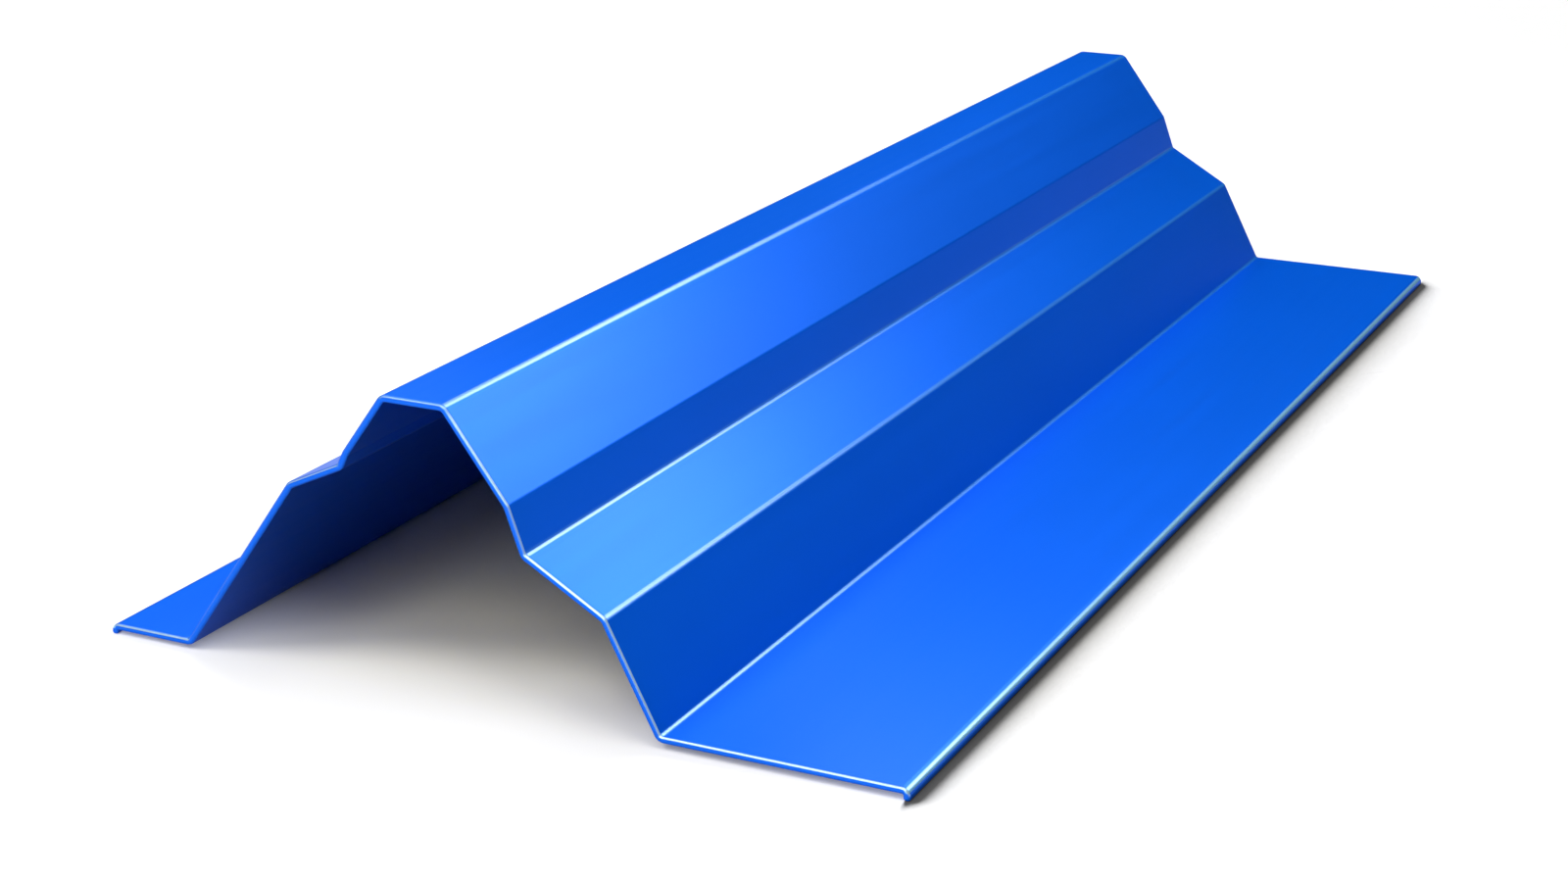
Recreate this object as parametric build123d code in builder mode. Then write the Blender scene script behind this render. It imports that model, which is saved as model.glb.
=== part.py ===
"""Corner flashing for a roof ridge, folded from one strip of coated sheet, in millimetres.

Seen from its near end, the section steps down to both sides of a flat top strip: a slope, a steeper neck,
a shelf, a wall, a level flange and a short lip turned down along the free edge. The two sides differ: the right
one has the long slope and the wide flange, the left one the long wall and the narrow flange.
The strip has one thickness everywhere, so each fold is round on both faces about one centre.
X runs across the section, Y along the length and Z up. The origin is on the floor, under the middle.
"""

import os
from math import cos, radians, sin, tan

from build123d import *

# The sheet and how it is folded: the folds are a little softer than the bend of the narrow lips
SHEET = 3.2
FOLD_INSIDE = 1.8
LIP_BEND_INSIDE = 0.8
EASED_EDGE = 1.2

# The whole piece
WIDTH = 400.0
LENGTH = 860.0
HEIGHT = 137.0
TOP_STRIP = 32.0

# Strips below the top one, as (width of the strip, fall from level in degrees), from the top down.
# Each side ends in a wall that falls to its flange at the angle given, whatever width that takes.
RIGHT_STRIPS = ((50.0, 53.0), (22.0, 70.0), (43.5, 30.0))
RIGHT_WALL_FALL = 62.5
RIGHT_LIP = 6.0
LEFT_STRIPS = ((35.0, 54.0), (7.0, 64.0), (29.5, 25.0))
LEFT_WALL_FALL = 54.5
LEFT_LIP = 5.3

# The right flange takes the width that the other strips leave.
LEFT_FLANGE = 43.5


def side_corners(strips, wall_fall, lip):
    """Sharp corners of the weather face as (distance out from the top strip, height), down to the wall's foot."""
    out, height = 0.0, HEIGHT
    corners = [(out, height)]
    for width, fall in strips:
        out += width * cos(radians(fall))
        height -= width * sin(radians(fall))
        corners.append((out, height))
    out += (height - lip) / tan(radians(wall_fall))
    corners.append((out, lip))
    return corners


left_side = side_corners(LEFT_STRIPS, LEFT_WALL_FALL, LEFT_LIP)
right_side = side_corners(RIGHT_STRIPS, RIGHT_WALL_FALL, RIGHT_LIP)
top_left = LEFT_FLANGE - WIDTH / 2 + left_side[-1][0]
top_right = top_left + TOP_STRIP
weather_corners = [(-WIDTH / 2, 0.0), (-WIDTH / 2, LEFT_LIP)]
weather_corners += [(top_left - out, height) for out, height in reversed(left_side)]
weather_corners += [(top_right + out, height) for out, height in right_side]
weather_corners += [(WIDTH / 2, RIGHT_LIP), (WIDTH / 2, 0.0)]


def fold_radius(before, corner, after):
    """Radius on the weather face: outside of the fold where the path turns down, inside where it turns up."""
    turn = (corner[0] - before[0]) * (after[1] - corner[1]) - (corner[1] - before[1]) * (after[0] - corner[0])
    return FOLD_INSIDE + SHEET if turn < 0 else FOLD_INSIDE


weather_radii = [
    fold_radius(before, corner, after)
    for before, corner, after in zip(weather_corners, weather_corners[1:], weather_corners[2:])
]
weather_radii[0] = weather_radii[-1] = LIP_BEND_INSIDE + SHEET

with BuildPart() as flashing:
    with BuildSketch(Plane.XZ):
        with BuildLine():
            FilletPolyline(*weather_corners, radius=weather_radii)
            offset(amount=SHEET, side=Side.RIGHT)
        make_face()
    extrude(amount=LENGTH / 2, both=True)
    # The cut ends and the lips' lower edges are eased all round.
    lip_ends = flashing.faces().group_by(Axis.Z)[0]
    cut_ends = flashing.faces().filter_by(Axis.Y)
    fillet(lip_ends.edges() + cut_ends.edges(), EASED_EDGE)

flashing.part.label = "folded_sheet"
os.makedirs("parts", exist_ok=True)
export_step(flashing.part, "parts/folded_sheet.step")
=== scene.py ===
"""Dresses the folded corner flashing: a blue semi-gloss coating, a white floor and soft studio lamps.

Every length is in metres, in the frame of the part: +Y along the folds, +Z up, the floor at z = 0.
"""

import math

import bpy
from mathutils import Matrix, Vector


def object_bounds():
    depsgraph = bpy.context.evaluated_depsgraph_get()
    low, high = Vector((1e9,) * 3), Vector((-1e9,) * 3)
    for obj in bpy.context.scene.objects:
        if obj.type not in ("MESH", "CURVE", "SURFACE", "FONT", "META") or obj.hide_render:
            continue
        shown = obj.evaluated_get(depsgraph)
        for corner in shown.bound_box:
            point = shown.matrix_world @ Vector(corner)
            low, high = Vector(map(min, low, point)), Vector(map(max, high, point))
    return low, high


# The camera: where it stands, where it looks, and its lens on a 36 mm wide sensor
CAMERA_PLACE = Vector((0.5872, -1.3443, 0.4904))
CAMERA_AZIMUTH = 25.86
CAMERA_ELEVATION = 18.79
CAMERA_LENS = 62.9
SENSOR_WIDTH = 36.0
CLIP_START = 0.01
CLIP_END = 200.0

# The section, as strips that run down from the top one: (width, fall from level in degrees)
SHEET = 0.0032
FOLD_INSIDE = 0.0018
LIP_BEND_INSIDE = 0.0008
TOP_STRIP = 0.032
RIGHT_STRIPS = ((0.050, 53.0), (0.022, 70.0), (0.0435, 30.0))
RIGHT_WALL_FALL = 62.5
RIGHT_LIP = 0.0060
LEFT_STRIPS = ((0.035, 54.0), (0.007, 64.0), (0.0295, 25.0))
LEFT_WALL_FALL = 54.5
LEFT_LIP = 0.0053
LEFT_FLANGE = 0.0435

# The coating, in linear colour
COAT_BLUE = (0.001, 0.148, 0.93)
COAT_METALLIC = 0.35
COAT_ROUGHNESS = 0.30
COAT_SPECULAR = 0.02
COAT_TINT = (0.2, 0.5, 1.0, 1.0)
CLEAR_COAT = 0.055
CLEAR_COAT_IOR = 2.5
CLEAR_COAT_ROUGHNESS = 0.20

# Painted highlights, pale lines that stand in for the reflections of the rounded bends: colours on folds,
# lips and cut edges, the weight of clear coat, half a line's width, and the least turn in degrees of a fold
# that carries one
FOLD_HIGHLIGHT_BLUE = (0.015, 0.24, 0.97)
LIP_HIGHLIGHT_BLUE = (0.28, 0.66, 1.0)
EDGE_HIGHLIGHT_BLUE = (0.50, 0.76, 1.0)
LINE_COAT = 0.5
FOLD_LINE = 0.0016
LEAST_TURN = 20.0

# The painted highlight on the eased cut edges, as (starts, ends) of parts of the surface's normal: how far it
# turns from the cut end, how it fades on steep, level and left-facing parts, and what is left on level and
# topmost ones
EDGE_TURN = (0.04, 0.14)
EDGE_STEEP = (0.0, 0.45)
EDGE_LEVEL = (0.55, 0.85)
EDGE_LEFT = (-0.45, -0.15)
EDGE_LEVEL_SHARE = 0.6
EDGE_TOP_SHARE = 0.4

# Faint shades, long roller marks and orange peel: size of a feature, detail, and spread, range or height
SHADE_SIZE = 0.12
SHADE_DETAIL = 2.0
SHADE_SPREAD = 0.04
ROLLER_WIDTH = 0.006
ROLLER_STRETCH = 40.0
ROLLER_DETAIL = 3.0
ROLLER_RANGE = (0.3, 0.7)
ROUGHNESS_SPREAD = 0.015
PEEL_SIZE = 0.0022
PEEL_DETAIL = 1.0
PEEL_HEIGHT = 0.000004

# The floor: how much light it returns where it is seen, elsewhere, and under the part, where a painted warm
# tint makes up for the blue light that the part throws on it and a painted shade darkens the feet of the
# walls
FLOOR_SIZE = 200.0
FLOOR_SEEN = 0.90
FLOOR_UNSEEN = 0.12
FLOOR_UNDER_PAINTED_TINT = (0.92, 0.84, 0.54)
FLOOR_FOOT_PAINTED_SHADE = (0.50, 0.43, 0.25)
HOLLOW_MIDDLE = -0.035
FOOT_SHADE_STARTS = 0.045
FOOT_SHADE_FULL = 0.10
UNDER_REACH = 0.14
UNDER_FADE = 0.20

# How the seen floor turns white with the distance from the part, and the shadow painted beside the right edge
NEAR_GLOW = 0.24
NEAR_GLOW_SIDE = 0.10
NEAR_GLOW_STARTS = 0.06
NEAR_GLOW_FULL = 0.18
FAR_GLOW = 0.85
FAR_GLOW_STARTS = 0.5
FAR_GLOW_FULL = 2.6
CONTACT_SAMPLES = 32
CONTACT_REACH = 0.04
CONTACT_DEPTH = 7.5
CONTACT_DARKEST = 0.08

# Soft lamps, as (name, place, aim, size, power in watts)
LAMPS = (
    ("front_fill", (0.2, -1.9, 1.4), (0.0, -0.4, 0.0), (1.5, 0.8), 14.5),
    ("overhead_near", (0.2, -0.9, 1.9), (0.05, -0.3, 0.05), (0.8, 0.8), 5.0),
    ("left_back_high", (-1.2, 0.9, 1.4), (-0.03, 0.2, 0.12), (0.9, 0.9), 11.0),
    ("back_panel", (0.15, 1.5, 1.35), (0.0, -0.3, 0.05), (2.2, 0.7), 10.0),
    ("back_high", (0.15, 0.85, 1.07), (0.03, -0.4, 0.08), (0.6, 0.4), 3.0),
    ("back_right", (2.2, 3.0, 2.2), (0.05, -0.4, 0.05), (1.4, 1.4), 29.0),
    ("edge_glint", (-0.65, -1.1, 1.35), (0.0, -0.4, 0.05), (0.6, 0.6), 9.0),
    ("glint", (0.1, 0.3, 0.5), (0.05, -0.45, 0.05), (0.6, 0.18), 0.45),
    ("near_top", (0.3, -0.5, 0.6), (0.1, -0.4, 0.05), (0.4, 0.4), 1.2),
    ("end_light", (-0.05, -1.6, 0.2), (-0.05, -0.43, 0.05), (0.5, 0.25), 5.0),
)


def principled(name):
    """A new material and its nodes, links and Principled shader."""
    material = bpy.data.materials.new(name)
    material.use_nodes = True
    tree = material.node_tree
    return material, tree.nodes, tree.links, tree.nodes["Principled BSDF"]


def feed(links, socket, value):
    """Links an output into a socket, or sets a plain value on it."""
    if isinstance(value, bpy.types.NodeSocket):
        links.new(value, socket)
    else:
        socket.default_value = value


def math_node(nodes, links, operation, first, second=0.0):
    node = nodes.new("ShaderNodeMath")
    node.operation = operation
    feed(links, node.inputs[0], first)
    feed(links, node.inputs[1], second)
    return node.outputs[0]


def vector_node(nodes, links, operation, first, second=(0.0, 0.0, 0.0)):
    """The result of a vector operation: a number for DISTANCE and LENGTH, a vector for the others."""
    node = nodes.new("ShaderNodeVectorMath")
    node.operation = operation
    feed(links, node.inputs[0], first)
    feed(links, node.inputs[1], second)
    return node.outputs["Value" if operation in ("DISTANCE", "LENGTH") else "Vector"]


def axis_of(nodes, links, vector, axis):
    node = nodes.new("ShaderNodeSeparateXYZ")
    links.new(vector, node.inputs[0])
    return node.outputs[axis]


def ramp(nodes, links, value, start, end, low, high):
    """Low up to start, high from end on, and smooth between them."""
    node = nodes.new("ShaderNodeMapRange")
    node.interpolation_type = "SMOOTHSTEP"
    feed(links, node.inputs["Value"], value)
    for name, number in (("From Min", start), ("From Max", end), ("To Min", low), ("To Max", high)):
        node.inputs[name].default_value = number
    return node.outputs["Result"]


def blend_colours(nodes, links, factor, first, second):
    node = nodes.new("ShaderNodeMix")
    node.data_type = "RGBA"
    feed(links, node.inputs["Factor"], factor)
    feed(links, node.inputs["A"], first)
    feed(links, node.inputs["B"], second)
    return node.outputs["Result"]


def noise(nodes, links, place, stretch, detail):
    """Noise between 0 and 1, with one feature for each unit of the stretched place."""
    node = nodes.new("ShaderNodeTexNoise")
    node.inputs["Scale"].default_value = 1.0
    node.inputs["Detail"].default_value = detail
    links.new(vector_node(nodes, links, "MULTIPLY", place, stretch), node.inputs["Vector"])
    return node.outputs["Fac"]


def side_corners(strips, wall_fall, lip, height):
    """Sharp corners of the weather face down to the wall's foot: (distance out from the top strip, z)."""
    out = 0.0
    corners = [(out, height)]
    for width, fall in strips:
        out += width * math.cos(math.radians(fall))
        height -= width * math.sin(math.radians(fall))
        corners.append((out, height))
    out += (height - lip) / math.tan(math.radians(wall_fall))
    corners.append((out, lip))
    return corners


def fold_lines(width, height):
    """The middle of each fold and of each lip's bend on the weather face, as points (x, 0, z)."""
    left = side_corners(LEFT_STRIPS, LEFT_WALL_FALL, LEFT_LIP, height)
    right = side_corners(RIGHT_STRIPS, RIGHT_WALL_FALL, RIGHT_LIP, height)
    top_left = LEFT_FLANGE - width / 2 + left[-1][0]
    corners = [Vector((-width / 2, 0.0)), Vector((-width / 2, LEFT_LIP))]
    corners += [Vector((top_left - out, z)) for out, z in reversed(left)]
    corners += [Vector((top_left + TOP_STRIP + out, z)) for out, z in right]
    corners += [Vector((width / 2, RIGHT_LIP)), Vector((width / 2, 0.0))]
    folds, lips = [], []
    for before, corner, after in zip(corners, corners[1:], corners[2:]):
        back, on = (before - corner).normalized(), (after - corner).normalized()
        turn = math.pi - back.angle(on)
        if turn < math.radians(LEAST_TURN):
            continue
        turns_down = back.x * on.y - back.y * on.x > 0
        is_lip = corner in (corners[1], corners[-2])
        inside = LIP_BEND_INSIDE if is_lip else FOLD_INSIDE
        radius = inside + SHEET if turns_down else inside
        inward = (back + on).normalized()
        middle = corner + inward * (radius / math.cos(turn / 2) - radius)
        (lips if is_lip else folds).append((middle.x, 0.0, middle.y))
    return folds, lips


def line_mask(nodes, links, place, lines):
    """1 along each of the lines, 0 away from them."""
    flat = vector_node(nodes, links, "MULTIPLY", place, (1.0, 0.0, 1.0))
    nearest = None
    for line in lines:
        distance = vector_node(nodes, links, "DISTANCE", flat, line)
        nearest = distance if nearest is None else math_node(nodes, links, "MINIMUM", nearest, distance)
    return ramp(nodes, links, nearest, FOLD_LINE / 2, FOLD_LINE, 1.0, 0.0)


def edge_highlight_mask(nodes, links, place, normal, height):
    """Where the painted highlight goes: up to 1 on the eased edge between the weather face and a cut end, 0
    where it is steep or faces left.
    """
    across, along, up = (axis_of(nodes, links, normal, axis) for axis in ("X", "Y", "Z"))
    along = math_node(nodes, links, "MULTIPLY", along, along)
    rest = math_node(nodes, links, "SUBTRACT", 1.0, along)
    turned = math_node(nodes, links, "MULTIPLY", along, rest)
    place_up = axis_of(nodes, links, place, "Z")
    mask = ramp(nodes, links, turned, *EDGE_TURN, 0.0, 1.0)
    for part in (
        ramp(nodes, links, up, *EDGE_STEEP, 0.0, 1.0),
        ramp(nodes, links, up, *EDGE_LEVEL, 1.0, EDGE_LEVEL_SHARE),
        ramp(nodes, links, across, *EDGE_LEFT, 0.0, 1.0),
        ramp(nodes, links, place_up, height - 2 * SHEET, height - SHEET / 2, 1.0, EDGE_TOP_SHARE),
    ):
        mask = math_node(nodes, links, "MULTIPLY", mask, part)
    return mask


def coated_sheet_material(width, height):
    """Blue coating with a faint orange peel and roller marks, and painted highlights: paler lines with more
    clear coat along folds, lip bends and cut edges.
    """
    material, nodes, links, shader = principled("coated_sheet_blue")
    coordinates = nodes.new("ShaderNodeTexCoord")
    place, normal = coordinates.outputs["Object"], coordinates.outputs["Normal"]
    fold_points, lip_points = fold_lines(width, height)
    folds = line_mask(nodes, links, place, fold_points)
    lips = line_mask(nodes, links, place, lip_points)
    edges = edge_highlight_mask(nodes, links, place, normal, height)
    # Where the painted highlights go: along the folds, the lip bends and the cut edges.
    highlight_lines = math_node(nodes, links, "MAXIMUM", math_node(nodes, links, "MAXIMUM", folds, lips), edges)

    shade = noise(nodes, links, place, (1 / SHADE_SIZE,) * 3, SHADE_DETAIL)
    darker = tuple(c * (1 - SHADE_SPREAD) for c in COAT_BLUE) + (1.0,)
    lighter = tuple(c * (1 + SHADE_SPREAD) for c in COAT_BLUE) + (1.0,)
    blue = blend_colours(nodes, links, shade, darker, lighter)
    # Painted highlights: the base colour turns paler along the folds, lip bends and cut edges.
    for mask, highlight_colour in ((folds, FOLD_HIGHLIGHT_BLUE), (lips, LIP_HIGHLIGHT_BLUE), (edges, EDGE_HIGHLIGHT_BLUE)):
        blue = blend_colours(nodes, links, mask, blue, (*highlight_colour, 1.0))
    links.new(blue, shader.inputs["Base Color"])

    across = 1 / ROLLER_WIDTH
    roller = noise(nodes, links, place, (across, across / ROLLER_STRETCH, across), ROLLER_DETAIL)
    least, most = COAT_ROUGHNESS - ROUGHNESS_SPREAD, COAT_ROUGHNESS + ROUGHNESS_SPREAD
    links.new(ramp(nodes, links, roller, *ROLLER_RANGE, least, most), shader.inputs["Roughness"])
    links.new(ramp(nodes, links, highlight_lines, 0.0, 1.0, CLEAR_COAT, LINE_COAT), shader.inputs["Coat Weight"])

    peel = noise(nodes, links, place, (1 / PEEL_SIZE,) * 3, PEEL_DETAIL)
    bump = nodes.new("ShaderNodeBump")
    bump.inputs["Distance"].default_value = PEEL_HEIGHT
    links.new(peel, bump.inputs["Height"])
    links.new(bump.outputs["Normal"], shader.inputs["Normal"])

    shader.inputs["Metallic"].default_value = COAT_METALLIC
    shader.inputs["Specular IOR Level"].default_value = COAT_SPECULAR
    shader.inputs["Specular Tint"].default_value = COAT_TINT
    shader.inputs["Coat IOR"].default_value = CLEAR_COAT_IOR
    shader.inputs["Coat Roughness"].default_value = CLEAR_COAT_ROUGHNESS
    return material


def seen_rays(nodes, links):
    """1 for camera, glossy and transmission rays, 0 for the others."""
    light_path = nodes.new("ShaderNodeLightPath")
    seen = light_path.outputs["Is Camera Ray"]
    for ray in ("Is Glossy Ray", "Is Transmission Ray"):
        seen = math_node(nodes, links, "MAXIMUM", seen, light_path.outputs[ray])
    return seen


def away_from_box(nodes, links, place, half_width, half_length):
    """How far a floor point lies outside a rectangle about the middle, 0 inside it."""
    flat = vector_node(nodes, links, "ABSOLUTE", place)
    past = vector_node(nodes, links, "SUBTRACT", flat, (half_width, half_length, 0.0))
    outside = vector_node(nodes, links, "MAXIMUM", past)
    return vector_node(nodes, links, "LENGTH", outside)


def painted_contact_shadow(nodes, links, place, half_width):
    """1 on the open floor; a painted shadow, darker close to the turned-down edge on the side away from the
    main light.
    """
    open_sky = nodes.new("ShaderNodeAmbientOcclusion")
    open_sky.samples = CONTACT_SAMPLES
    open_sky.inputs["Distance"].default_value = CONTACT_REACH
    covered = math_node(nodes, links, "SUBTRACT", 1.0, open_sky.outputs["AO"])
    across = axis_of(nodes, links, place, "X")
    side = ramp(nodes, links, across, half_width - SHEET, half_width, 0.0, CONTACT_DEPTH)
    dark = math_node(nodes, links, "MULTIPLY", covered, side)
    rest = math_node(nodes, links, "SUBTRACT", 1.0, dark)
    return math_node(nodes, links, "MAXIMUM", rest, CONTACT_DARKEST)


def floor_material(half_width, half_length):
    """White floor that keeps the object's shadow and turns to plain white further out, where it is seen, with
    a painted tint and shade under the part and a painted shadow beside the right edge.
    """
    material, nodes, links, shader = principled("floor_white")
    output = nodes["Material Output"]
    nodes.remove(shader)
    place = nodes.new("ShaderNodeTexCoord").outputs["Object"]
    seen = seen_rays(nodes, links)
    # shade: the painted shadow beside the right edge, which darkens the floor's colour and its glow.
    shade = painted_contact_shadow(nodes, links, place, half_width)
    middle_length = half_length - UNDER_REACH
    away = away_from_box(nodes, links, place, half_width, half_length)
    away_from_middle = away_from_box(nodes, links, place, half_width - UNDER_REACH, middle_length)
    past_ends = away_from_box(nodes, links, place, half_width - NEAR_GLOW_SIDE, middle_length)

    # Painted under the part: a warm tint against the blue light the part throws on the floor, and a shade
    # that darkens the floor towards the feet of the walls.
    under_part = ramp(nodes, links, away_from_middle, 0.0, UNDER_FADE, 1.0, 0.0)
    across = math_node(nodes, links, "SUBTRACT", axis_of(nodes, links, place, "X"), HOLLOW_MIDDLE)
    across = math_node(nodes, links, "ABSOLUTE", across)
    foot = ramp(nodes, links, across, FOOT_SHADE_STARTS, FOOT_SHADE_FULL, 0.0, 1.0)
    painted_under_colour = blend_colours(nodes, links, foot, (*FLOOR_UNDER_PAINTED_TINT, 1.0), (*FLOOR_FOOT_PAINTED_SHADE, 1.0))
    seen_colour = blend_colours(nodes, links, under_part, (FLOOR_SEEN,) * 3 + (1.0,), painted_under_colour)
    colour = blend_colours(nodes, links, seen, (FLOOR_UNSEEN,) * 3 + (1.0,), seen_colour)
    # The painted shadow darkens the floor's colour beside the right edge.
    colour = blend_colours(nodes, links, shade, (0.0, 0.0, 0.0, 1.0), colour)
    diffuse = nodes.new("ShaderNodeBsdfDiffuse")
    links.new(colour, diffuse.inputs["Color"])

    near = ramp(nodes, links, past_ends, NEAR_GLOW_STARTS, NEAR_GLOW_FULL, 0.0, NEAR_GLOW)
    far = ramp(nodes, links, away, FAR_GLOW_STARTS, FAR_GLOW_FULL, 0.0, FAR_GLOW)
    white = math_node(nodes, links, "MULTIPLY", math_node(nodes, links, "ADD", near, far), seen)
    glow = nodes.new("ShaderNodeEmission")
    links.new(math_node(nodes, links, "MULTIPLY", white, shade), glow.inputs["Strength"])

    both = nodes.new("ShaderNodeAddShader")
    links.new(diffuse.outputs[0], both.inputs[0])
    links.new(glow.outputs[0], both.inputs[1])
    links.new(both.outputs[0], output.inputs["Surface"])
    return material


def make_floor(half_width, half_length):
    half = FLOOR_SIZE / 2
    mesh = bpy.data.meshes.new("floor")
    corners = [(-half, -half, 0), (half, -half, 0), (half, half, 0), (-half, half, 0)]
    mesh.from_pydata(corners, [], [(0, 1, 2, 3)])
    floor = bpy.data.objects.new("floor", mesh)
    floor.data.materials.append(floor_material(half_width, half_length))
    bpy.context.scene.collection.objects.link(floor)


def make_world():
    """Dark studio: the lamps give all the light."""
    world = bpy.data.worlds.new("studio")
    bpy.context.scene.world = world
    world.use_nodes = True
    world.node_tree.nodes["Background"].inputs["Strength"].default_value = 0.0


def soft_box(name, place, aim, size, power):
    """A rectangular lamp at a place, facing an aim, that the camera doesn't see."""
    lamp = bpy.data.lights.new(name, "AREA")
    lamp.shape = "RECTANGLE"
    lamp.size, lamp.size_y = size
    lamp.energy = power
    box = bpy.data.objects.new(name, lamp)
    box.location = place
    box.rotation_mode = "QUATERNION"
    box.rotation_quaternion = (Vector(aim) - Vector(place)).to_track_quat("-Z", "Y")
    box.visible_camera = False
    bpy.context.scene.collection.objects.link(box)


def make_camera():
    azimuth, elevation = math.radians(CAMERA_AZIMUTH), math.radians(CAMERA_ELEVATION)
    level = math.cos(elevation)
    back = Vector((math.sin(azimuth) * level, -math.cos(azimuth) * level, math.sin(elevation)))
    data = bpy.data.cameras.new("camera")
    data.lens = CAMERA_LENS
    data.sensor_width = SENSOR_WIDTH
    data.clip_start = CLIP_START
    data.clip_end = CLIP_END
    camera = bpy.data.objects.new("camera", data)
    camera.location = CAMERA_PLACE
    camera.rotation_mode = "QUATERNION"
    camera.rotation_quaternion = (-back).to_track_quat("-Z", "Y")
    bpy.context.scene.collection.objects.link(camera)
    bpy.context.scene.camera = camera


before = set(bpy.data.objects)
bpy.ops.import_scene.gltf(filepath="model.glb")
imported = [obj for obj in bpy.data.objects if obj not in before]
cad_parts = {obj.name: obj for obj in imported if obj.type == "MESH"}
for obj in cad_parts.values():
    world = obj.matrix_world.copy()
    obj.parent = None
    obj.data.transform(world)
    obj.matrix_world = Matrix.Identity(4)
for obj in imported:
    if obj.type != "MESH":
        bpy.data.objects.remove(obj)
cad_low, cad_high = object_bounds()
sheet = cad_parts["folded_sheet"]
sheet.material_slots[0].material = coated_sheet_material(cad_high.x - cad_low.x, cad_high.z)

make_floor(cad_high.x, cad_high.y)
make_world()
for lamp_values in LAMPS:
    soft_box(*lamp_values)
make_camera()
bpy.context.scene.view_settings.view_transform = "Standard"
